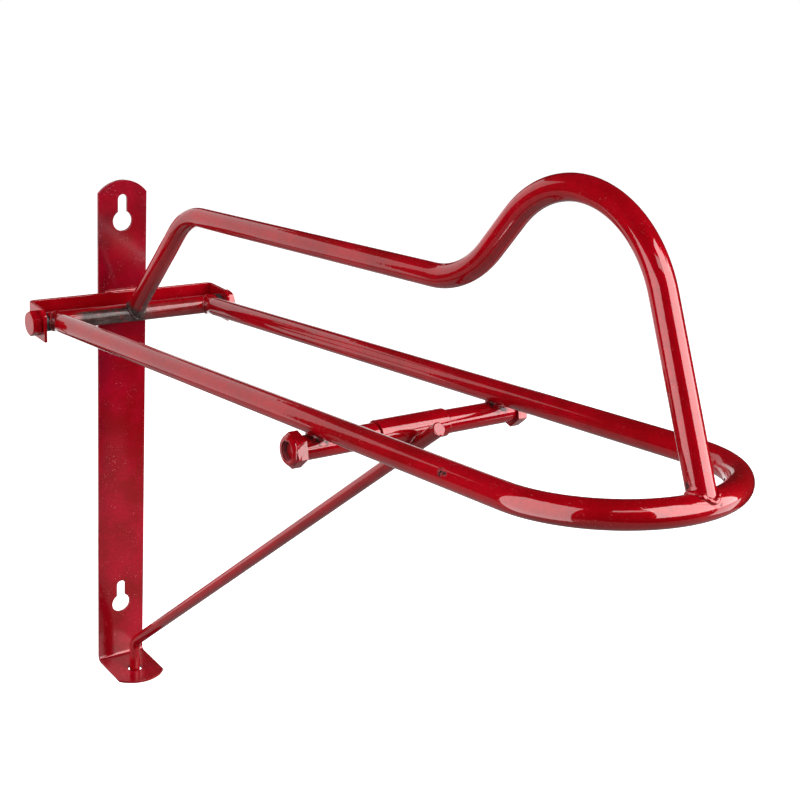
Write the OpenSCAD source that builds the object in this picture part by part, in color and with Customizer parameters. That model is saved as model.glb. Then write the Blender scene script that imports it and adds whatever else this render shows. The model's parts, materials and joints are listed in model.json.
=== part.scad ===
// Folding wall-mounted saddle rack, in its set-up position.
// Origin: on the wall, on the rack's centre line, level with the hinge axis.
// X runs along the hinge axis, the rack stands out from the wall along -Y, and Z is up.

/* [Wall plate] */
// Width of the flat bar that is screwed to the wall
plate_w = 38; // [32:1:50]
// Thickness of the flat bar and of the hinge bracket strip
sheet_t = 2; // [1.5:0.5:4]
// Height of the bar's rounded top above the hinge axis
plate_rise = 94; // [85:1:110]
// Depth of the foot tab's upper face below the hinge axis
foot_drop = 292; // [280:1:300]
// Distance from the wall to the tip of the foot tab
foot_reach = 48; // [44:1:56]
// Radius of the rounded bar ends
end_r = 24.5; // [20:0.5:40]
// Inside radius of the bend between bar and foot tab
foot_bend_r = 3; // [2:0.5:5]

/* [Keyholes] */
// Diameter of the round part of each keyhole
key_d = 15; // [12:0.5:18]
// Width of the keyhole slot
slot_w = 7.2; // [5:0.1:9]
// Height from the round part's centre to the slot's top
slot_rise = 19.5; // [16:0.5:24]
// Height of the upper keyhole's round part above the hinge axis
upper_key_z = 64; // [45:1:68]
// Distance between the two keyholes
key_pitch = 310; // [280:1:315]

/* [Hinge bracket] */
// Width over the two ears
bracket_w = 147; // [146:0.5:150]
// Height of the bracket strip
bracket_h = 23; // [22:0.5:30]
// Distance from the wall to the ears' front edges
ear_reach = 33; // [31:1:38]
// Distance from the wall to the hinge axis
hinge_out = 21; // [20:0.5:24]
// Size of the cut corner at the top front of each ear
ear_corner = 4; // [2:0.5:6]

/* [Frame tube] */
// Outside diameter of the rails, the hinge tube and the bushes
tube_d = 13.5; // [12.7:0.1:14]
// Bore of the frame tube, which runs on the bolts
bore_d = 10.16; // [10.12:0.02:10.2]
// Outside diameter of the saddle hoop
hoop_d = 13.2; // [12:0.1:13.4]
// Distance between the centre lines of the two rails
rail_pitch = 121; // [116:1:124]
// Distance from the hinge axis to the loop's front centre line
loop_reach = 554; // [540:1:570]
// Angle at which the rails rise from the wall
rail_rise = 6; // [4:0.5:8]

/* [Saddle hoop] */
// Distance from the hinge axis to the rear bend's corner
rear_out = 89; // [85:1:95]
// Height of the rear bend's corner over the rails
rear_up = 80; // [76:1:84]
// Distance from the hinge axis to the seat bend's corner
seat_out = 388.5; // [380:0.5:395]
// Height of the seat bend's corner over the rails
seat_up = 74.5; // [72:0.5:80]
// Distance from the hinge axis to the crown's corner
crown_out = 493.5; // [490:0.5:498]
// Height of the crown's corner over the rails
crown_up = 179.5; // [175:0.5:185]
// Centre-line radius of the rear bend
rear_r = 52; // [45:1:56]
// Centre-line radius of the seat bend
seat_r = 64; // [55:1:68]
// Centre-line radius of the crown bend
crown_r = 60; // [50:1:62]

/* [Brace] */
// Distance from the hinge axis to the brace axis, along the rails
brace_out = 341.5; // [335:0.5:348]
// Depth of the brace axis below the rails' centre lines
brace_below = 12.5; // [12.3:0.1:12.8]
// Length of the turning sleeve
sleeve_l = 46; // [40:1:56]
// Outside diameter of the turning sleeve
sleeve_d = 16; // [15:0.5:18]
// Length over both brace bushes
bush_span = 142; // [136:1:146]
// Diameter of the brace rod
rod_d = 8; // [7:0.5:8.5]
// Distance from the wall to the rod's foot
foot_out = 27; // [26:0.5:28]
// Diameter of the foot tab's hole
foot_hole_d = 11; // [10.5:0.5:12]
// Depth of the rod's end below the foot tab's upper face
rod_poke = 6; // [5:0.5:8]
// Height of the rod's bend corner above the foot tab
rod_bend_up = 23.5; // [20:0.5:28]
// Centre-line radius of the rod's bend
rod_bend_r = 14; // [12:1:18]
// Distance from the rod's centre line to the sleeve's axis
rod_seat = 10.2; // [10:0.1:10.6]
// Length of rod beyond its nearest point to the sleeve's axis
rod_past = 25.5; // [20:0.5:36]

/* [Fasteners] */
// Diameter of the two long bolts
bolt_d = 10; // [9.96:0.02:10]
// Width across flats of the hinge bolt's head and nut
hinge_af = 16; // [15:1:17]
// Height of the hinge nut
hinge_nut_h = 7; // [6:0.5:8.5]
// Width across flats of the brace bolt's head and nut
brace_af = 17; // [15:1:17]
// Thickness of the bolt heads
head_h = 6.5; // [5:0.5:8]
// Height of the brace bolt's lock nut
lock_nut_h = 7.5; // [7:0.5:12]
// Thickness of the nylon ring in the lock nut
ring_h = 2.5; // [2:0.5:3]
// Depth of the brace bolt's end inside the lock nut
bolt_recess = 3; // [0.5:0.5:3.5]
// Angle between straight ahead and the front flats of the brace bolt's head and nut
brace_hex_turn = 15; // [0:1:59]
// Angle between straight ahead and the front flat of the hinge nut
hinge_nut_turn = 20; // [0:1:59]
// Gap between the ends of parts that turn against each other
end_gap = 0.4; // [0.3:0.05:0.5]

/* [Welds] */
// Reach of the weld beads from the joint
bead = 1.2; // [0.8:0.1:2.2]
// Reach of the weld beads on the hinge tube at the rails' ends
rail_bead = 0.7; // [0.5:0.1:2]
// Radius of the beads that hold the bracket to the bar
strip_bead = 1.8; // [1.2:0.1:2.4]

/* [Hidden] */
$fn = 96;

enamel = [0.62, 0.02, 0.06];
bare_steel = [0.30, 0.28, 0.28];
nylon = [0.78, 0.25, 0.30];
black_plastic = [0.07, 0.07, 0.07];

cut = 1; // how far cutting bodies run past the faces they cut
lower_key_z = upper_key_z - key_pitch;
end_bulge = end_r - sqrt(pow(end_r, 2) - pow(plate_w / 2, 2));
foot_outer_r = foot_bend_r + sheet_t;
bracket_bend_r = 3;
bracket_outer_r = bracket_bend_r + sheet_t;
ear_in = bracket_w / 2 - sheet_t;
strip_front = 2 * sheet_t;
strip_bead_l = plate_w - 8;
rail_x = rail_pitch / 2;
bend_start = loop_reach - rail_x;
hinge_tube_l = rail_pitch + tube_d;
hoop_path = [
    [0, 0], [rear_out, rear_up], [seat_out, seat_up], [crown_out, crown_up], [loop_reach, 0]
];
hoop_radii = [rear_r, seat_r, crown_r];
bend_squeeze = 0.1; // how much thinner a tube is in its bends
bend_lap = 0.5; // how far a bend runs into the straight legs
thread_end = 1; // how far the hinge bolt's end stays inside its nut
collar_h = 1.5;
collar_d = 16.6;
collar_edge = 1; // size of the lock nut's chamfer and of the lip over its ring
ring_d = 13;

// Brace axis and rod line, seen from the side as [distance from the wall, height].
brace_y = hinge_out + brace_out * cos(rail_rise) + brace_below * sin(rail_rise);
brace_z = brace_out * sin(rail_rise) - brace_below * cos(rail_rise);
rod_corner = [foot_out, rod_bend_up - foot_drop];
corner_to_axis = [brace_y, brace_z] - rod_corner;
rod_angle = atan2(corner_to_axis[1], corner_to_axis[0]) - asin(rod_seat / norm(corner_to_axis));
rod_run = sqrt(pow(norm(corner_to_axis), 2) - pow(rod_seat, 2)) + rod_past;
rod_path = [
    [foot_out, -foot_drop - rod_poke],
    rod_corner,
    rod_corner + rod_run * [cos(rod_angle), sin(rod_angle)]
];
rod_radii = [rod_bend_r];

// Geometry of a bent path: corner k of the points p is rounded with radius r[k - 1].
function heading(v) = atan2(v[1], v[0]);
function leg_heading(p, k) = heading(p[k + 1] - p[k]);
function turn(p, k) = (leg_heading(p, k) - leg_heading(p, k - 1) + 540) % 360 - 180;
function tangent_l(p, r, k) = k < 1 || k > len(p) - 2 ? 0 : r[k - 1] * tan(abs(turn(p, k)) / 2);
function leg_l(p, r, k) = norm(p[k + 1] - p[k]) - tangent_l(p, r, k) - tangent_l(p, r, k + 1);

// A round bar of diameter d along a path in the XY plane.
// The bends are squeezed a little and end inside the straight legs.
module bent_bar(p, r, d) {
    for (k = [0 : len(p) - 2])
        translate([p[k][0], p[k][1], 0])
            rotate([0, 90, leg_heading(p, k)])
                translate([0, 0, tangent_l(p, r, k)])
                    cylinder(h = leg_l(p, r, k), d = d);
    for (k = [1 : len(p) - 2]) {
        lap = bend_lap / r[k - 1] * 180 / PI;
        translate([p[k][0], p[k][1], 0])
            rotate([0, 0, leg_heading(p, k - 1)])
                mirror([0, turn(p, k) < 0 ? 1 : 0, 0])
                    translate([-tangent_l(p, r, k), r[k - 1], 0])
                        rotate([0, 0, -90 - lap])
                            rotate_extrude(angle = abs(turn(p, k)) + 2 * lap)
                                translate([r[k - 1], 0])
                                    circle(d = d - bend_squeeze);
    }
}

// Turns a side view, X outwards and Y up, to stand in the rack's middle plane.
module side_view() {
    rotate([90, 0, -90]) children();
}

// The frame's own axes: hinge axis at the origin, rails along -Y.
module in_frame() {
    translate([0, -hinge_out, 0])
        rotate([-rail_rise, 0, 0])
            children();
}

// The brace axis, with X along it.
module at_brace() {
    translate([0, -brace_y, brace_z]) children();
}

module bar_x(d, l) {
    rotate([0, 90, 0]) cylinder(h = l, d = d, center = true);
}

// A tube from x0 to x1 along the X axis.
module tube_x(d, bore, x0, x1) {
    translate([x0, 0, 0])
        rotate([0, 90, 0])
            difference() {
                cylinder(h = x1 - x0, d = d);
                translate([0, 0, -cut]) cylinder(h = x1 - x0 + 2 * cut, d = bore);
            }
}

module loop_bar(d) {
    for (side = [-1, 1])
        translate([side * rail_x, 0, 0])
            rotate([90, 0, 0])
                cylinder(h = bend_start, d = d);
    translate([0, -bend_start, 0])
        rotate([0, 0, 180])
            rotate_extrude(angle = 180)
                translate([rail_x, 0])
                    circle(d = d);
}

module hoop_bar(d) {
    side_view() bent_bar(hoop_path, hoop_radii, d);
}

module bush_bar(d) {
    translate([0, -brace_out, -brace_below]) bar_x(d, bush_span);
}

module rod_bar(d) {
    side_view() bent_bar(rod_path, rod_radii, d);
}

// Wall plate

// A flat bar's outline from y = 0 up to a rounded end at y = l.
module rounded_bar(l) {
    intersection() {
        translate([-plate_w / 2, 0]) square([plate_w, l]);
        translate([0, l - end_r]) circle(r = end_r);
    }
    translate([-plate_w / 2, 0]) square([plate_w, l - end_bulge]);
}

module keyhole(z) {
    translate([0, cut, z])
        rotate([90, 0, 0])
            cylinder(h = sheet_t + 2 * cut, d = key_d);
    translate([-slot_w / 2, -sheet_t - cut, z])
        cube([slot_w, sheet_t + 2 * cut, slot_rise - slot_w / 2]);
    translate([0, cut, z + slot_rise - slot_w / 2])
        rotate([90, 0, 0])
            cylinder(h = sheet_t + 2 * cut, d = slot_w);
}

module foot_bend() {
    translate([-plate_w / 2, -foot_outer_r, foot_bend_r - foot_drop])
        rotate([0, 90, 0])
            intersection() {
                difference() {
                    cylinder(h = plate_w, r = foot_outer_r);
                    translate([0, 0, -cut]) cylinder(h = plate_w + 2 * cut, r = foot_bend_r);
                }
                cube([foot_outer_r, foot_outer_r, plate_w]);
            }
}

module wall_plate() {
    color(enamel)
        difference() {
            union() {
                translate([0, 0, foot_bend_r - foot_drop])
                    rotate([90, 0, 0])
                        linear_extrude(sheet_t)
                            rounded_bar(plate_rise + foot_drop - foot_bend_r);
                foot_bend();
                translate([0, -foot_outer_r, -foot_drop - sheet_t])
                    rotate([0, 0, 180])
                        linear_extrude(sheet_t)
                            rounded_bar(foot_reach - foot_outer_r);
            }
            keyhole(upper_key_z);
            keyhole(lower_key_z);
            translate([0, -foot_out, -foot_drop - sheet_t - cut])
                cylinder(h = sheet_t + 2 * cut, d = foot_hole_d);
        }
}

// Hinge bracket

module bracket_half() {
    translate([0, -strip_front, -bracket_h / 2])
        cube([bracket_w / 2 - bracket_outer_r, sheet_t, bracket_h]);
    translate([bracket_w / 2 - bracket_outer_r, -sheet_t - bracket_outer_r, -bracket_h / 2])
        intersection() {
            difference() {
                cylinder(h = bracket_h, r = bracket_outer_r);
                translate([0, 0, -cut]) cylinder(h = bracket_h + 2 * cut, r = bracket_bend_r);
            }
            cube([bracket_outer_r, bracket_outer_r, bracket_h]);
        }
    translate([ear_in, 0, 0])
        rotate([90, 0, 90])
            linear_extrude(sheet_t)
                polygon([
                    [-sheet_t - bracket_outer_r, -bracket_h / 2],
                    [-sheet_t - bracket_outer_r, bracket_h / 2],
                    [-ear_reach + ear_corner, bracket_h / 2],
                    [-ear_reach, bracket_h / 2 - ear_corner],
                    [-ear_reach, -bracket_h / 2]
                ]);
}

module hinge_bracket() {
    color(enamel)
        difference() {
            union() {
                bracket_half();
                mirror([1, 0, 0]) bracket_half();
            }
            translate([0, -hinge_out, 0]) bar_x(bore_d, bracket_w + 2 * cut);
        }
}

module bracket_welds() {
    color(enamel)
        for (side = [-1, 1])
            difference() {
                translate([0, -sheet_t, side * bracket_h / 2]) bar_x(2 * strip_bead, strip_bead_l);
                translate([-plate_w / 2, -sheet_t, -bracket_h]) cube([plate_w, sheet_t + cut, 2 * bracket_h]);
                translate([-plate_w / 2, -strip_front - cut, -bracket_h / 2])
                    cube([plate_w, sheet_t + 2 * cut, bracket_h]);
            }
}

// Fasteners, drawn along Z with the bearing face at z = 0

// A hexagon whose corners are cut back to a cone of diameter af at the top.
module hex_body(af, h) {
    intersection() {
        cylinder(h = h, d = af / cos(30), $fn = 6);
        cylinder(h = h, d1 = af + 4 * h, d2 = af);
    }
}

// A hexagon bolt whose shank runs down from z = 0.
module bolt(af, shank_l) {
    hex_body(af, head_h);
    translate([0, 0, -shank_l]) cylinder(h = shank_l, d = bolt_d);
}

module plain_nut(af, h) {
    difference() {
        hex_body(af, h);
        translate([0, 0, -cut]) cylinder(h = h + 2 * cut, d = bolt_d);
    }
}

// A lock nut that stands on z = 0 with its nylon ring in a round collar at the top.
module lock_nut() {
    seat = lock_nut_h - collar_edge - ring_h;
    difference() {
        union() {
            hex_body(brace_af, lock_nut_h - collar_h);
            cylinder(h = lock_nut_h - collar_edge, d = collar_d);
            translate([0, 0, lock_nut_h - collar_edge])
                cylinder(h = collar_edge, d1 = collar_d, d2 = collar_d - 2 * collar_edge);
        }
        translate([0, 0, -cut]) cylinder(h = lock_nut_h, d = bolt_d);
        translate([0, 0, seat]) cylinder(h = ring_h, d = ring_d);
        translate([0, 0, seat + cut]) cylinder(h = lock_nut_h, d = ring_d - 2 * collar_edge);
    }
}

module lock_ring() {
    translate([0, 0, lock_nut_h - collar_edge - ring_h])
        difference() {
            cylinder(h = ring_h, d = ring_d);
            translate([0, 0, -cut]) cylinder(h = ring_h + 2 * cut, d = bolt_d);
        }
}

module hinge_end(side) {
    translate([side * bracket_w / 2, -hinge_out, 0])
        rotate([0, side * 90, 0])
            children();
}

module hinge_bolt() {
    color(enamel) hinge_end(-1) bolt(hinge_af, bracket_w + hinge_nut_h - thread_end);
}

module hinge_nut() {
    color(enamel) hinge_end(1) rotate(-hinge_nut_turn) plain_nut(hinge_af, hinge_nut_h);
}

module hinge_spacer(side) {
    inner = hinge_tube_l / 2 + end_gap;
    color(black_plastic)
        translate([0, -hinge_out, 0])
            mirror([side < 0 ? 1 : 0, 0, 0])
                tube_x(tube_d, bore_d, inner, ear_in);
}

module hinge_spacer_left() {
    hinge_spacer(-1);
}

module hinge_spacer_right() {
    hinge_spacer(1);
}

// Frame

module base_loop() {
    color(enamel)
        in_frame()
            difference() {
                loop_bar(tube_d);
                loop_bar(bore_d);
                bar_x(tube_d, hinge_tube_l + 2 * cut);
            }
}

module saddle_hoop() {
    color(enamel)
        in_frame()
            difference() {
                hoop_bar(hoop_d);
                hoop_bar(bore_d);
                bar_x(tube_d, rail_pitch - tube_d);
                loop_bar(tube_d);
            }
}

module hinge_tube() {
    color(bare_steel)
        in_frame()
            tube_x(tube_d, bore_d, -hinge_tube_l / 2, hinge_tube_l / 2);
}

// Beads fill the space within the bead size of both bars at a joint.

module rail_welds() {
    color(enamel)
        in_frame()
            difference() {
                intersection() {
                    loop_bar(tube_d + 2 * bead);
                    bar_x(tube_d + 2 * rail_bead, hinge_tube_l - cut);
                }
                loop_bar(tube_d);
                bar_x(tube_d, hinge_tube_l + 2 * cut);
            }
}

module hoop_rear_weld() {
    color(bare_steel)
        in_frame()
            difference() {
                intersection() {
                    hoop_bar(hoop_d + 2 * bead);
                    bar_x(tube_d + 2 * bead, 2 * tube_d);
                }
                hoop_bar(hoop_d);
                bar_x(tube_d, 3 * tube_d);
            }
}

module hoop_front_weld() {
    color(enamel)
        in_frame()
            difference() {
                intersection() {
                    hoop_bar(hoop_d + 2 * bead);
                    loop_bar(tube_d + 2 * bead);
                }
                hoop_bar(hoop_d);
                loop_bar(tube_d);
            }
}

module bush(side) {
    color(enamel)
        in_frame()
            difference() {
                translate([0, -brace_out, -brace_below])
                    mirror([side < 0 ? 1 : 0, 0, 0])
                        tube_x(tube_d, bore_d, sleeve_l / 2 + end_gap, bush_span / 2);
                loop_bar(tube_d);
            }
}

module bush_left() {
    bush(-1);
}

module bush_right() {
    bush(1);
}

module bush_welds() {
    color(enamel)
        in_frame()
            difference() {
                intersection() {
                    loop_bar(tube_d + 2 * bead);
                    bush_bar(tube_d + 2 * bead);
                }
                loop_bar(tube_d);
                bush_bar(tube_d);
            }
}

module brace_end(side) {
    at_brace()
        translate([side * bush_span / 2, 0, 0])
            rotate([0, side * 90, 0])
                rotate(-side * brace_hex_turn)
                    children();
}

module brace_bolt() {
    color(enamel) brace_end(1) bolt(brace_af, bush_span + lock_nut_h - bolt_recess);
}

module brace_nut() {
    color(enamel) brace_end(-1) lock_nut();
}

module brace_nut_ring() {
    color(nylon) brace_end(-1) lock_ring();
}

// Brace

module brace_sleeve() {
    color(enamel)
        at_brace()
            tube_x(sleeve_d, bore_d, -sleeve_l / 2, sleeve_l / 2);
}

module brace_rod() {
    color(enamel)
        difference() {
            rod_bar(rod_d);
            at_brace() bar_x(sleeve_d, sleeve_l);
        }
}

module brace_weld() {
    color(enamel)
        difference() {
            intersection() {
                rod_bar(rod_d + 2 * bead);
                at_brace() bar_x(sleeve_d + 2 * bead, sleeve_l);
            }
            rod_bar(rod_d);
            at_brace() bar_x(sleeve_d, sleeve_l + 2 * cut);
        }
}

wall_plate();
hinge_bracket();
bracket_welds();
hinge_bolt();
hinge_nut();
hinge_spacer_left();
hinge_spacer_right();
base_loop();
saddle_hoop();
hinge_tube();
rail_welds();
hoop_rear_weld();
hoop_front_weld();
bush_left();
bush_right();
bush_welds();
brace_bolt();
brace_nut();
brace_nut_ring();
brace_sleeve();
brace_rod();
brace_weld();
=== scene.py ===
import json
import math

import bmesh
import bpy
from mathutils import Matrix, Vector, noise

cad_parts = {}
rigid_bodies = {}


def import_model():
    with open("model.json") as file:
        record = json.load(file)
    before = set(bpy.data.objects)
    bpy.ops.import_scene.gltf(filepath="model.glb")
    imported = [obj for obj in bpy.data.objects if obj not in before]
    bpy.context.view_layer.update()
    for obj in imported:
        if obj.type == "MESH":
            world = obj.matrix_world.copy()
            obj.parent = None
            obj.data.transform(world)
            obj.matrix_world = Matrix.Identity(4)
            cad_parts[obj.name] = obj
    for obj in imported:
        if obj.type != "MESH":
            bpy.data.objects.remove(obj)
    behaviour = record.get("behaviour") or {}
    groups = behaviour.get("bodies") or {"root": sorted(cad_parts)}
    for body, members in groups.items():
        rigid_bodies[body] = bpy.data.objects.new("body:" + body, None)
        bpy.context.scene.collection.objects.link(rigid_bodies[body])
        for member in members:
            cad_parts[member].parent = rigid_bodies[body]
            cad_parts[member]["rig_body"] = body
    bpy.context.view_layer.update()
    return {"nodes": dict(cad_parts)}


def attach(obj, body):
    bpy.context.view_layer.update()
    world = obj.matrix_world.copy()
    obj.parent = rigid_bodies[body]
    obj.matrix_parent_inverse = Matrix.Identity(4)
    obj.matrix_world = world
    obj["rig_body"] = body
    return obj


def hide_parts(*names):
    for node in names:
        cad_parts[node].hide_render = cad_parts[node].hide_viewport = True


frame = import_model()
nodes = frame["nodes"]
MM = 0.001

X = Vector((1, 0, 0))
Y = Vector((0, 1, 0))
Z = Vector((0, 0, 1))
AS_IT_IS = Matrix.Identity(4)

# Sizes of the CAD model, in metres
TUBE_R = 6.75 * MM
HOOP_R = 6.6 * MM
ROD_R = 4 * MM
SLEEVE_R = 8 * MM
# Rails: how far each is from the middle, and where the round front starts
RAIL_X = 60.5 * MM
BEND_START = 493.5 * MM
# Brace bolt: its place along the rails and under them
BRACE_OUT = 341.5 * MM
BRACE_BELOW = 12.5 * MM
# Rod: its distance from the brace bolt, and how far it runs on past the bolt
ROD_SEAT = 10.2 * MM
ROD_PAST = 25.5 * MM
ROD_FOOT = Vector((0, -27 * MM, -298 * MM))
ROD_CORNER = Vector((0, -27 * MM, -268.5 * MM))
ROD_BEND = 14 * MM
# The frame's own axes start on the hinge axis and rise towards the front
HINGE_OUT = 21 * MM
HINGE_MIDDLE = (0, -HINGE_OUT, 0)
RISE = math.radians(6)
FRAME_AXES = Matrix.Translation(HINGE_MIDDLE) @ Matrix.Rotation(-RISE, 4, "X")
BRACE_AXIS = FRAME_AXES @ Vector((0, -BRACE_OUT, -BRACE_BELOW))
# Hoop: distance along the rails and height of its corners in mm, and the radii of its bends
HOOP_CORNERS = [(0, 0), (89, 80), (388.5, 74.5), (493.5, 179.5), (554, 0)]
HOOP_BENDS = [52 * MM, 64 * MM, 60 * MM]


# Camera

def camera_axes(azimuth, elevation, roll):
    a, e, r = (math.radians(v) for v in (azimuth, elevation, roll))
    back = Vector((math.sin(a) * math.cos(e), -math.cos(a) * math.cos(e), math.sin(e)))
    right = (-back).cross(Vector((0, 0, 1))).normalized()
    up = right.cross(-back).normalized()
    return (
        math.cos(r) * right + math.sin(r) * up,
        math.cos(r) * up - math.sin(r) * right,
        back,
    )


def add_camera():
    data = bpy.data.cameras.new("camera")
    cam = bpy.data.objects.new("camera", data)
    bpy.context.scene.collection.objects.link(cam)
    right, up, back = camera_axes(-37.102, 18.828, 4.03)
    m = Matrix((right, up, back)).transposed().to_4x4()
    m.translation = Vector((-0.44604, -0.94128, 0.28853))
    cam.matrix_world = m
    data.sensor_width = 36
    data.lens = 63.966
    data.clip_start, data.clip_end = 0.02, 60
    bpy.context.scene.camera = cam


# Node helpers

class Graph:
    """A small wrapper that adds and links shader nodes."""

    def __init__(self, tree):
        self.tree = tree

    def node(self, kind, inputs=None, **settings):
        n = self.tree.nodes.new(kind)
        for key, value in settings.items():
            setattr(n, key, value)
        for key, value in (inputs or {}).items():
            self.put(n.inputs[key], value)
        return n

    def put(self, socket, value):
        if isinstance(value, bpy.types.NodeSocket):
            self.tree.links.new(value, socket)
        elif socket.type == "RGBA":
            socket.default_value = (*value, 1)
        else:
            socket.default_value = value

    def noise(self, coords, scale, detail=3, roughness=0.5):
        return self.node(
            "ShaderNodeTexNoise",
            {"Vector": coords, "Scale": scale, "Detail": detail, "Roughness": roughness},
        ).outputs["Fac"]

    def ramp(self, fac, low, high, start=0.0, end=1.0):
        return self.node(
            "ShaderNodeMapRange",
            {"Value": fac, "From Min": low, "From Max": high, "To Min": start, "To Max": end},
            interpolation_type="SMOOTHSTEP",
        ).outputs["Result"]

    def math(self, op, a, b=0.0):
        return self.node("ShaderNodeMath", {0: a, 1: b}, operation=op, use_clamp=True).outputs[0]

    def times(self, *values):
        out = values[0]
        for v in values[1:]:
            out = self.math("MULTIPLY", out, v)
        return out

    def mix(self, fac, a, b):
        return self.node("ShaderNodeMix", {0: fac, 6: a, 7: b}, data_type="RGBA").outputs[2]

    def mix_value(self, fac, a, b):
        return self.node("ShaderNodeMix", {0: fac, 2: a, 3: b}, data_type="FLOAT").outputs[0]

    def bump(self, height, strength, distance, normal=None):
        ins = {"Height": height, "Strength": strength, "Distance": distance}
        if normal is not None:
            ins["Normal"] = normal
        return self.node("ShaderNodeBump", ins).outputs["Normal"]

    def stretched(self, coords, scale):
        return self.node("ShaderNodeMapping", {"Vector": coords, "Scale": scale}).outputs[0]

    def along(self, vector, direction):
        """How far a vector runs along a direction."""
        return self.node(
            "ShaderNodeVectorMath", {0: vector, 1: direction}, operation="DOT_PRODUCT"
        ).outputs["Value"]

    def near(self, coords, place, inner, outer):
        """1 within the inner distance of a place, 0 beyond the outer one."""
        d = self.node("ShaderNodeVectorMath", {0: coords, 1: place}, operation="DISTANCE")
        return self.ramp(d.outputs["Value"], inner, outer, 1.0, 0.0)


def new_material(name):
    mat = bpy.data.materials.new(name)
    mat.use_nodes = True
    mat.node_tree.nodes.clear()
    g = Graph(mat.node_tree)
    shader = g.node("ShaderNodeBsdfPrincipled")
    g.node("ShaderNodeOutputMaterial", {"Surface": shader.outputs["BSDF"]})
    coords = g.node("ShaderNodeTexCoord").outputs["Object"]
    return mat, g, shader, coords


# Materials

def enamel(name, soot=None, chips=(), specks=0.6, lumpy=0.0, peel=0.05, haze=0.035, painted_shade=None,
           thin=(0.30, 0.0008, 0.0055)):
    """Glossy wine-red enamel, uneven in thickness, with grit under it, soot and chips.
    haze dulls the gloss; painted_shade is a mask of painted shade, places where the colour is made darker;
    thin is the colour where it is thin."""
    mat, g, s, co = new_material(name)
    cloud = g.ramp(g.noise(co, 26, 4, 0.6), 0.35, 0.65)
    fine = g.ramp(g.noise(co, 420, 4, 0.7), 0.40, 0.64)
    colour = g.mix(cloud, (0.235, 0.0006, 0.0030), thin)
    colour = g.mix(g.times(fine, 0.4), colour, (0.165, 0.0005, 0.0020))
    # Painted shade: a dark red laid over the places that the mask picks out
    if painted_shade:
        colour = g.mix(painted_shade(g, co), colour, (0.105, 0.0006, 0.0060))
    sparse = g.ramp(g.noise(co, 70, 2), 0.48, 0.62)
    grit = g.times(g.ramp(g.noise(co, 1150, 2, 0.5), 0.66, 0.73), sparse, specks)
    colour = g.mix(grit, colour, (0.50, 0.11, 0.12))
    pits = g.ramp(g.noise(co, 330, 3, 0.65), 0.745, 0.765)
    for place, inner, outer in chips:
        worn = g.near(co, place, inner, outer)
        ragged = g.ramp(g.noise(co, 900, 3, 0.7), 0.36, 0.60)
        pits = g.math("ADD", pits, g.times(worn, ragged, 1.6))
    colour = g.mix(pits, colour, (0.012, 0.006, 0.006))
    rough = g.mix_value(fine, 0.30, 0.42)
    metal = g.mix_value(cloud, 0.26, 0.16)
    gloss = 1.0
    if soot:
        amount, shade = soot(g, co)
        colour = g.mix(amount, colour, shade)
        rough = g.mix_value(amount, rough, 0.38)
        gloss = g.mix_value(amount, 1.0, 0.45)
    g.put(s.inputs["Base Color"], colour)
    g.put(s.inputs["Metallic"], metal)
    g.put(s.inputs["Roughness"], rough)
    g.put(s.inputs["Coat Weight"], g.mix_value(pits, gloss, 0.2))
    wavy = g.bump(g.noise(co, 210, 2, 0.5), peel, 0.0006)
    if lumpy:
        wavy = g.bump(g.noise(co, 520, 3, 0.6), lumpy, 0.0006, wavy)
    raised = g.bump(grit, 0.2, 0.0001, wavy)
    sunk = g.node("ShaderNodeMath", {0: 1.0, 1: pits}, operation="SUBTRACT").outputs[0]
    chipped = g.bump(sunk, 0.6, 0.0002, raised)
    g.put(s.inputs["Normal"], chipped)
    g.put(s.inputs["Coat Normal"], chipped)
    s.inputs["Specular IOR Level"].default_value = 0.0
    s.inputs["Coat Roughness"].default_value = haze
    s.inputs["Coat IOR"].default_value = 1.55
    return mat


def plastic(name, base, worn, rough):
    mat, g, s, co = new_material(name)
    fine = g.ramp(g.noise(co, 900, 3, 0.6), 0.35, 0.7)
    g.put(s.inputs["Base Color"], g.mix(fine, base, worn))
    g.put(s.inputs["Roughness"], g.mix_value(fine, rough, rough + 0.15))
    g.put(s.inputs["Normal"], g.bump(g.noise(co, 1600, 2, 0.5), 0.15, 0.0002))
    return mat


def steel_shade(g, co):
    """Scorched bare steel: mottled grey and brown."""
    streak = g.ramp(g.noise(g.stretched(co, (0.35, 1, 1)), 130, 5, 0.7), 0.38, 0.68)
    speck = g.ramp(g.noise(co, 800, 3, 0.7), 0.42, 0.66)
    shade = g.mix(streak, (0.030, 0.014, 0.013), (0.100, 0.066, 0.060))
    return g.mix(g.times(speck, 0.8), shade, (0.022, 0.011, 0.011))


def hinge_tube_soot(g, co):
    """Bare along the front and underside, thin paint on top and towards the ends; near-black on the left
    end's front and underside.
    """
    n = g.node("ShaderNodeTexCoord").outputs["Normal"]
    front = g.ramp(g.along(n, (0, -0.95, -0.32)), 0.12, 0.42)
    x = g.along(co, (1, 0, 0))
    left = g.ramp(x, -0.052, -0.040)
    right = g.ramp(x, 0.000, 0.018, 1.0, 0.45)
    end = g.ramp(x, 0.046, 0.054, 1.0, 0.0)
    patchy = g.ramp(g.noise(co, 240, 4, 0.6), 0.22, 0.45)
    # Near-black over the left end's front and underside, next to the ear
    dark_left_end = g.times(g.ramp(x, -0.056, -0.060), g.ramp(g.along(n, (0, -0.6, -0.8)), -0.35, 0.0))
    amount = g.math("MAXIMUM", g.times(front, left, right, end, patchy), dark_left_end)
    return amount, g.mix(dark_left_end, steel_shade(g, co), (0.010, 0.007, 0.007))


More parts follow.
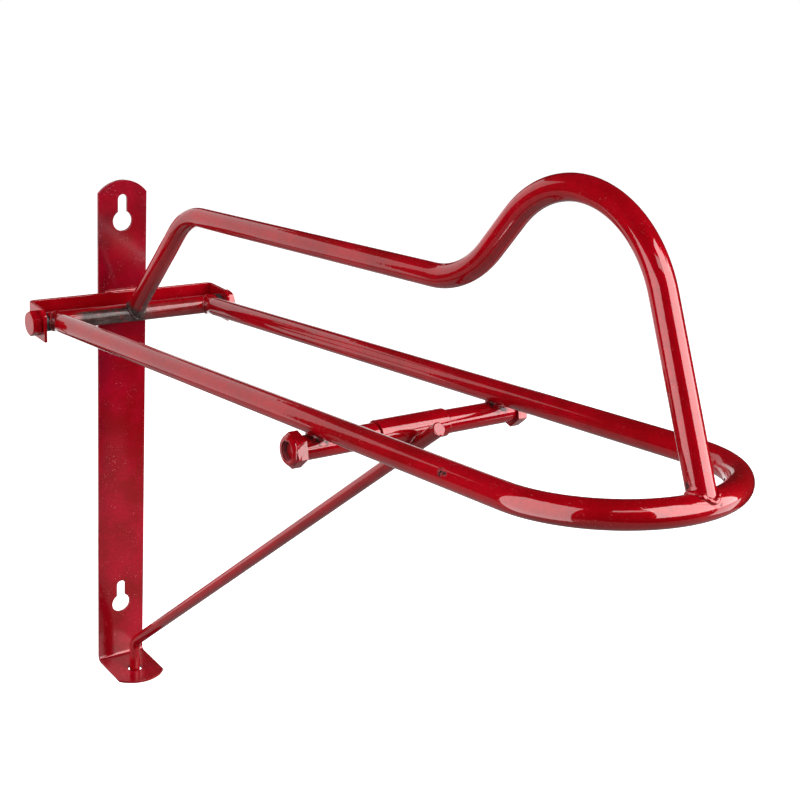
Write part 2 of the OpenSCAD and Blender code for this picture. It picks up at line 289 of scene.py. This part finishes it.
def hoop_leg_soot(g, co):
    """The hoop's rear leg is scorched from the weld up, on the side turned to the front."""
    n = g.node("ShaderNodeTexCoord").outputs["Normal"]
    low = g.near(co, HINGE_MIDDLE, 0.022, 0.074)
    side = g.ramp(g.along(n, (0.85, -0.35, -0.40)), 0.15, 0.60, 0.0, 0.9)
    foot = g.near(co, HINGE_MIDDLE, 0.0105, 0.017)
    patchy = g.ramp(g.noise(co, 170, 4, 0.65), 0.25, 0.55)
    return g.math("MAXIMUM", g.times(low, side, patchy), foot), steel_shade(g, co)


def joint_soot(places, inner, outer, strength):
    """Soot round a few joints, broken up by noise."""
    def soot(g, co):
        amount = 0.0
        for place in places:
            amount = g.math("MAXIMUM", g.near(co, place, inner, outer), amount)
        ragged = g.ramp(g.noise(co, 420, 4, 0.7), 0.42, 0.58)
        return g.times(amount, ragged, strength), (0.014, 0.008, 0.008)
    return soot


def plate_painted_shade(g, co):
    """Painted shade: the flat bar is made darker towards its top and left edge, in soft clouds."""
    z = g.along(co, (0, 0, 1))
    x = g.along(co, (1, 0, 0))
    high = g.ramp(z, -0.20, 0.08, 0.0, 0.75)
    edge = g.ramp(x, -0.004, -0.018, 0.0, 0.45)
    soft = g.ramp(g.noise(co, 34, 3, 0.6), 0.30, 0.70, 0.35, 1.0)
    return g.times(g.math("ADD", high, edge), soft)


def set_material(obj, mat):
    obj.data.materials.clear()
    obj.data.materials.append(mat)


# Shapes

def new_piece(name, bm, node, mat):
    """Makes a mesh object that stands for a CAD node and rides on its body."""
    mesh = bpy.data.meshes.new(name)
    bmesh.ops.recalc_face_normals(bm, faces=bm.faces)
    bm.to_mesh(mesh)
    bm.free()
    for p in mesh.polygons:
        p.use_smooth = True
    obj = bpy.data.objects.new(name, mesh)
    bpy.context.scene.collection.objects.link(obj)
    set_material(obj, mat)
    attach(obj, nodes[node]["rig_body"])
    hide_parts(node)
    return obj


def ease(node, width, mat):
    """A copy of a CAD node with its sharp edges rounded over."""
    bm = bmesh.new()
    bm.from_mesh(nodes[node].data)
    bmesh.ops.remove_doubles(bm, verts=bm.verts, dist=2e-6)
    bmesh.ops.dissolve_limit(bm, angle_limit=math.radians(0.5), verts=bm.verts, edges=bm.edges)
    obj = new_piece(node + "_eased", bm, node, mat)
    bevel = obj.modifiers.new("edges", "BEVEL")
    bevel.width = width
    bevel.segments = 3
    bevel.limit_method = "ANGLE"
    bevel.angle_limit = math.radians(35)
    bevel.miter_outer = "MITER_ARC"
    graph = bpy.context.evaluated_depsgraph_get()
    mesh = bpy.data.meshes.new_from_object(obj.evaluated_get(graph))
    mesh.set_sharp_from_angle(angle=math.radians(14))
    obj.modifiers.clear()
    obj.data = mesh
    return obj


def rounded_path(corners, radii, step=1.2 * MM):
    """Points along straight legs with round bends. radii has one value for each corner between the ends."""
    points = [corners[0]]
    for k in range(1, len(corners) - 1):
        c = corners[k]
        a = (corners[k - 1] - c).normalized()
        b = (corners[k + 1] - c).normalized()
        r = radii[k - 1]
        half = a.angle(b) / 2
        middle = c + (a + b).normalized() * r / math.sin(half)
        start = c + a * r / math.tan(half)
        sweep_angle = math.pi - 2 * half
        turn_axis = (start - middle).cross(c + b * r / math.tan(half) - middle).normalized()
        count = max(6, round(sweep_angle * r / (2 * step)))
        for i in range(count + 1):
            turn = Matrix.Rotation(sweep_angle * i / count, 3, turn_axis)
            points.append(middle + turn @ (start - middle))
    points.append(corners[-1])
    return resample(points, step)


def resample(points, step):
    """Breaks long straight runs into even steps."""
    out = []
    for a, b in zip(points[:-1], points[1:]):
        count = max(1, round((b - a).length / (4 * step)))
        out += [a.lerp(b, i / count) for i in range(count)]
    return out + [points[-1]]


def headings(points, closed=False):
    out = []
    n = len(points)
    for i in range(n):
        a = points[(i - 1) % n] if closed else points[max(0, i - 1)]
        b = points[(i + 1) % n] if closed else points[min(n - 1, i + 1)]
        out.append((b - a).normalized())
    return out


def skin(bm, rings, closed=False, caps=True):
    """Joins rings of vertices into a tube."""
    n = len(rings[0])
    pairs = list(zip(rings[:-1], rings[1:]))
    if closed:
        pairs.append((rings[-1], rings[0]))
    for r0, r1 in pairs:
        for i in range(n):
            j = (i + 1) % n
            bm.faces.new((r0[i], r0[j], r1[j], r1[i]))
    if caps and not closed:
        bm.faces.new(rings[0])
        bm.faces.new(rings[-1])


def sweep(points, radius, side, facets, first=None, last=None, shape=None):
    """A round bar along a flat path; side is the normal of the path's plane.
    first and last place the end rings' points where the bar meets another one.
    shape gives the scale of the ring at each place."""
    bm = bmesh.new()
    rings = []
    ways = headings(points)
    for k, (p, t) in enumerate(zip(points, ways)):
        up = side.cross(t).normalized()
        scale = shape(k, len(points)) if shape else 1.0
        ring = []
        for i in range(facets):
            a = 2 * math.pi * i / facets
            v = p + radius * (scale * math.cos(a) * side + scale * math.sin(a) * up)
            if k == 0 and first:
                v = first(v, t)
            if k == len(points) - 1 and last:
                v = last(v, -t)
            ring.append(bm.verts.new(v))
        rings.append(ring)
    skin(bm, rings)
    return bm


# Distances to the other bars, in the frame's own axes

def from_hinge_tube(p):
    return math.hypot(p.y, p.z)


def from_loop(p):
    out = -p.y
    if out > BEND_START:
        flat = abs(math.hypot(p.x, out - BEND_START) - RAIL_X)
    else:
        flat = abs(abs(p.x) - RAIL_X)
    return math.hypot(flat, p.z)


def slide_to(distance, radius):
    """Moves a point along its bar until it lies on the surface of the other bar.
    The search starts where the bar comes nearest to the other one's centre line."""
    search, stride, beyond, halvings = 24, 0.5 * MM, 15 * MM, 30

    def move(v, inward):
        steps = [i * stride for i in range(-search, search + 1)]
        lo = min(steps, key=lambda d: distance(v + inward * d))
        hi = lo + beyond
        for _ in range(halvings):
            mid = (lo + hi) / 2
            if distance(v + inward * mid) < radius:
                lo = mid
            else:
                hi = mid
        return v + inward * lo
    return move


def bead(node, curves, radius, mat, seed, to_world=FRAME_AXES, rough=0.3):
    """Lumpy, rippled weld beads along curves; each curve is (points, closed)."""
    facets = 14
    ripple_pitch = 0.9 * MM
    bm = bmesh.new()
    for number, (points, closed) in enumerate(curves):
        ways = headings(points, closed)
        centre = sum(points, Vector()) / len(points)
        rings = []
        run = 0.0
        for k, (p, t) in enumerate(zip(points, ways)):
            run += (points[k] - points[k - 1]).length if k else 0.0
            out = (p - centre)
            out = (out - out.dot(t) * t).normalized()
            up = t.cross(out)
            ripple = 0.12 * abs(math.sin(run / ripple_pitch))
            swell = noise.noise(p * 330 + Vector((seed, number, 0)))
            taper = 1.0 if closed else min(1.0, 0.35 + min(k, len(points) - 1 - k) * 0.16)
            ring = []
            for i in range(facets):
                a = 2 * math.pi * i / facets
                d = math.cos(a) * out + math.sin(a) * up
                lump = noise.noise((p + d * radius) * 900 + Vector((0, seed, number)))
                r = radius * taper * (1 + rough * swell + ripple + 0.22 * lump)
                ring.append(bm.verts.new(to_world @ (p + r * d)))
            rings.append(ring)
        skin(bm, rings, closed)
    return new_piece(node + "_beads", bm, node, mat)


def ring_curve(centre, t, side, radius, move, count=84):
    """The curve where a bar along t meets another bar."""
    up = side.cross(t).normalized()
    out = []
    for i in range(count):
        a = 2 * math.pi * i / count
        out.append(move(centre + radius * (math.cos(a) * side + math.sin(a) * up), -t))
    return out


def hoop_corner(k):
    out, up = HOOP_CORNERS[k]
    return Vector((0, -out * MM, up * MM))


def place(bm, name, node, mat, to_world=FRAME_AXES):
    bmesh.ops.transform(bm, matrix=to_world, verts=bm.verts)
    return new_piece(name, bm, node, mat)


# Tubes and rod: smooth sweeps on the CAD centre lines

def loop_path(steps=60, start=6 * MM):
    """The middle of the tube that makes both rails and the round front."""
    rail = [BEND_START * i / steps for i in range(2, steps)]
    points = [Vector((-RAIL_X, -start, 0))]
    points += [Vector((-RAIL_X, -out, 0)) for out in rail]
    for i in range(2 * steps + 1):
        a = math.pi * i / (2 * steps)
        points.append(Vector((-RAIL_X * math.cos(a), -BEND_START - RAIL_X * math.sin(a), 0)))
    points += [Vector((RAIL_X, -out, 0)) for out in reversed(rail)]
    points.append(Vector((RAIL_X, -start, 0)))
    return points


def add_tubes():
    """The ends reach a little way into the tube that they meet."""
    sunk = 0.3 * MM
    to_hinge_tube = slide_to(from_hinge_tube, TUBE_R - sunk)
    to_loop = slide_to(from_loop, TUBE_R - sunk)
    loop = sweep(loop_path(), TUBE_R, Z, 64, to_hinge_tube, to_hinge_tube)
    place(loop, "base_loop_tube", "base_loop", red_loop)
    hoop_path = rounded_path([hoop_corner(k) for k in range(len(HOOP_CORNERS))], HOOP_BENDS)
    hoop = sweep(hoop_path, HOOP_R, X, 64, to_hinge_tube, to_loop)
    place(hoop, "saddle_hoop_tube", "saddle_hoop", red_hoop)


# How far along a rounded edge its rings lie
EDGE_MARKS = (0.0, 0.3, 0.7, 1.0)


def round_ends(points, depth):
    """Adds points close to both ends, so that the end edges can be rounded over."""
    a, b = points[0], points[-1]
    inward_a = (points[1] - a).normalized()
    inward_b = (points[-2] - b).normalized()
    return (
        [a + inward_a * depth * m for m in EDGE_MARKS] + points[1:-1]
        + [b + inward_b * depth * m for m in reversed(EDGE_MARKS)]
    )


def end_shape(depth, radius):
    """Narrows the last rings of a bar to round its end edges."""
    small = [1 - depth / radius * (1 - math.sqrt(1 - (1 - m) ** 2)) for m in EDGE_MARKS]

    def shape(k, count):
        from_end = min(k, count - 1 - k)
        return small[from_end] if from_end < len(small) else 1.0
    return shape


def rod_line():
    """The direction of the rod's long leg, and its point nearest to the brace bolt."""
    to_axis = BRACE_AXIS - ROD_CORNER
    reach = math.sqrt(to_axis.length_squared - ROD_SEAT**2)
    angle = math.atan2(to_axis.z, -to_axis.y) - math.asin(ROD_SEAT / to_axis.length)
    way = Vector((0, -math.cos(angle), math.sin(angle)))
    return way, ROD_CORNER + reach * way


def add_rod():
    edge = 0.7 * MM
    way, nearest = rod_line()
    points = rounded_path([ROD_FOOT, ROD_CORNER, nearest + ROD_PAST * way], [ROD_BEND])
    rod = sweep(round_ends(points, edge), ROD_R, X, 40, shape=end_shape(edge, ROD_R))
    bar = place(rod, "brace_rod_bar", "brace_rod", red, AS_IT_IS)
    bar.data.set_sharp_from_angle(angle=math.radians(20))


# Weld beads

def add_hoop_welds():
    foot, rise = hoop_corner(0), hoop_corner(1)
    rear = ring_curve(foot, (foot - rise).normalized(), X, HOOP_R, slide_to(from_hinge_tube, TUBE_R))
    bead("hoop_rear_weld", [(rear, True)], 0.95 * MM, scorched_weld, 3)
    crown, tip = hoop_corner(-2), hoop_corner(-1)
    front = ring_curve(tip, (tip - crown).normalized(), X, HOOP_R, slide_to(from_loop, TUBE_R))
    bead("hoop_front_weld", [(front, True)], 1.25 * MM, red_weld, 11, rough=0.5)


def add_rail_welds():
    to_hinge_tube = slide_to(from_hinge_tube, TUBE_R)
    curves = []
    for side in (-1, 1):
        end = Vector((side * RAIL_X, 0, 0))
        curves.append((ring_curve(end, Y, Z, TUBE_R, to_hinge_tube), True))
    bead("rail_welds", curves, 0.7 * MM, red_weld, 5)


def ellipse(reach_x, reach_y, count=72):
    """Points of an ellipse as pairs."""
    turns = [2 * math.pi * i / count for i in range(count)]
    return [(reach_x * math.cos(a), reach_y * math.sin(a)) for a in turns]


def add_bush_welds(reach=4.5 * MM):
    """Each ring runs midway between the rail's underside and the bush's top."""
    curves = []
    for side in (-1, 1):
        points = []
        for x, y in ellipse(reach, reach):
            bush_top = -BRACE_BELOW + math.sqrt(TUBE_R**2 - y**2)
            rail_under = -math.sqrt(TUBE_R**2 - x**2)
            points.append(Vector((side * RAIL_X + x, -BRACE_OUT + y, (bush_top + rail_under) / 2)))
        curves.append((points, True))
    bead("bush_welds", curves, 1.2 * MM, sooty_weld, 7)


def add_brace_weld():
    """The ring runs midway between the rod and the sleeve."""
    way, nearest = rod_line()
    to_sleeve = (BRACE_AXIS - nearest).normalized()
    points = []
    for x, y in ellipse(3.5 * MM, 5.6 * MM):
        rod_side = math.sqrt(ROD_R**2 - x**2)
        sleeve_side = ROD_SEAT - math.sqrt(SLEEVE_R**2 - y**2)
        points.append(nearest + x * X + y * way + (rod_side + sleeve_side) / 2 * to_sleeve)
    bead("brace_weld", [(points, True)], 1.2 * MM, red_weld, 9, to_world=AS_IT_IS)


def add_bracket_welds(out=2.3 * MM, up=11.7 * MM):
    """Two straight beads, 30 mm long, with a ring at every millimetre."""
    half_length = 15
    curves = []
    for side in (-1, 1):
        points = [Vector((x * MM, -out, side * up)) for x in range(-half_length, half_length + 1)]
        curves.append((points, False))
    bead("bracket_welds", curves, 1.3 * MM, red_weld, 13, to_world=AS_IT_IS)


# Stage

RACK_MIDDLE_Y = -0.3
FLOOR_HEIGHT = -0.9

# Softboxes round the rack: azimuth in degrees, where 0 is straight in front of the wall and 90
# is to +X, then distance, bottom, top and width in metres, and radiance
SOFTBOXES = {
    "right_tall": (18, 2.5, -0.10, 4.6, 2.15, 7.0),
    "right_wide": (54, 2.5, -0.10, 1.75, 1.1, 6.5),
    "right_step": (47, 2.5, 1.70, 2.7, 0.5, 6.5),
    "right_low": (58, 2.5, -1.4, -0.15, 1.2, 3.0),
    "back_wall": (192, 1.3, -0.62, 0.75, 1.25, 1.0),
    "back_side": (150, 1.3, -0.62, 0.20, 0.8, 1.2),
    "front_top": (-20, 2.5, 2.15, 3.05, 1.6, 3.6),
    "fill_left": (-116, 2.4, -0.9, 2.8, 2.2, 5.6),
}


def panel(name, width, height, radiance, location, facing):
    """A rectangle of even brightness; the camera doesn't see it."""
    data = bpy.data.lights.new(name, "AREA")
    data.shape = "RECTANGLE"
    data.size, data.size_y = width, height
    data.energy = radiance * math.pi * width * height
    obj = bpy.data.objects.new(name, data)
    bpy.context.scene.collection.objects.link(obj)
    obj.location = location
    obj.rotation_mode = "QUATERNION"
    obj.rotation_quaternion = facing.to_track_quat("-Z", "Y")
    obj.visible_camera = False
    return obj


def softbox(name, azimuth, distance, bottom, top, width, radiance):
    """An upright panel that faces the rack's middle."""
    a = math.radians(azimuth)
    middle = Vector((0, RACK_MIDDLE_Y, (bottom + top) / 2))
    location = middle + Vector((distance * math.sin(a), -distance * math.cos(a), 0))
    return panel(name, width, top - bottom, radiance, location, middle - location)


def add_lights():
    lights = {name: softbox(name, *values) for name, values in SOFTBOXES.items()}
    lights["fill_left"].visible_glossy = False
    # A small card close to the left rail's front end, which only shows as a reflection
    card = panel("left_card", 0.165, 0.32, 3.7, Vector((-0.17, -0.515, 0.04)), X)
    card.visible_diffuse = False
    panel("under", 3.0, 3.0, 0.3, Vector((0, RACK_MIDDLE_Y, FLOOR_HEIGHT + 0.05)), Z)


def add_floor():
    """A pale floor that only the camera sees, as bright as the world round it."""
    bm = bmesh.new()
    bmesh.ops.create_grid(bm, x_segments=1, y_segments=1, size=20)
    data = bpy.data.meshes.new("floor")
    bm.to_mesh(data)
    bm.free()
    floor = bpy.data.objects.new("floor", data)
    bpy.context.scene.collection.objects.link(floor)
    floor.location.z = FLOOR_HEIGHT
    mat, g, s, co = new_material("floor")
    g.put(s.inputs["Base Color"], g.mix(g.noise(co, 3, 2), (0.70, 0.70, 0.70), (0.74, 0.74, 0.74)))
    s.inputs["Roughness"].default_value = 0.9
    s.inputs["Emission Color"].default_value = (1, 1, 1, 1)
    s.inputs["Emission Strength"].default_value = 1.0
    set_material(floor, mat)
    floor.visible_glossy = False
    floor.visible_diffuse = False


def add_world():
    """White to the camera, nearly dark to everything else."""
    world = bpy.data.worlds.new("studio")
    bpy.context.scene.world = world
    world.use_nodes = True
    g = Graph(world.node_tree)
    room = world.node_tree.nodes["Background"]
    room.inputs["Color"].default_value = (1, 1, 1, 1)
    seen = g.node("ShaderNodeLightPath").outputs["Is Camera Ray"]
    g.put(room.inputs["Strength"], g.mix_value(seen, 0.015, 1.0))


# Camera first, then the materials

add_camera()

# Chips: place, full within this distance, gone beyond that one
LOOP_CHIPS = [
    ((-0.0668, -0.4738, 0.0502), 0.0006, 0.0030),
    ((-0.0665, -0.4770, 0.0506), 0.0003, 0.0018),
    ((0.0035, -0.5795, 0.0610), 0.0004, 0.0024),
]
HOOP_CHIPS = [
    ((-0.0062, -0.5664, 0.0664), 0.0006, 0.0026),
    ((-0.0020, -0.3833, 0.1206), 0.0002, 0.0020),
]
BUSH_TOPS = [(side * RAIL_X, BRACE_AXIS.y, BRACE_AXIS.z + 6 * MM) for side in (-1, 1)]

red = enamel("red_enamel")
red_loop = enamel("red_enamel_loop", chips=LOOP_CHIPS)
red_hoop = enamel("red_enamel_hoop", soot=hoop_leg_soot, chips=HOOP_CHIPS)
# The wall plate gets painted shade towards its top and left edge
red_plate = enamel("red_enamel_plate", specks=1.0, peel=0.015, haze=0.13, painted_shade=plate_painted_shade,
                   thin=(0.33, 0.0008, 0.0140))
red_strip = enamel("red_enamel_strip", specks=0.5, peel=0.015, haze=0.08)
red_bush = enamel("red_enamel_bush", soot=joint_soot(BUSH_TOPS, 6.5 * MM, 9.0 * MM, 0.95))
red_weld = enamel("red_enamel_weld", lumpy=0.5)
sooty_weld = enamel("sooty_weld", soot=joint_soot(BUSH_TOPS, 9 * MM, 12 * MM, 0.9), lumpy=0.5)
scorched = enamel("scorched_tube", soot=hinge_tube_soot)
scorched_weld = enamel("scorched_weld", soot=hoop_leg_soot, lumpy=0.5)
black = plastic("black_plastic", (0.012, 0.012, 0.012), (0.03, 0.03, 0.03), 0.35)
nylon = plastic("nylon_ring", (0.20, 0.02, 0.03), (0.30, 0.05, 0.06), 0.4)

for node in nodes.values():
    set_material(node, red)
set_material(nodes["brace_nut_ring"], nylon)

# Sheet parts and fasteners: the CAD shapes with their edges eased
ease("wall_plate", 0.45 * MM, red_plate)
ease("hinge_bracket", 0.45 * MM, red_strip)
ease("hinge_bolt", 0.5 * MM, red)
ease("hinge_nut", 0.5 * MM, red)
ease("hinge_spacer_left", 0.3 * MM, black)
ease("hinge_spacer_right", 0.3 * MM, black)
ease("hinge_tube", 0.3 * MM, scorched)
ease("bush_left", 0.3 * MM, red_bush)
ease("bush_right", 0.3 * MM, red_bush)
ease("brace_bolt", 0.5 * MM, red)
ease("brace_nut", 0.4 * MM, red)
ease("brace_sleeve", 0.5 * MM, red)

add_tubes()
add_rod()
add_hoop_welds()
add_rail_welds()
add_bush_welds()
add_brace_weld()
add_bracket_welds()

bpy.context.scene.view_settings.view_transform = "Standard"
add_world()
add_floor()
add_lights()
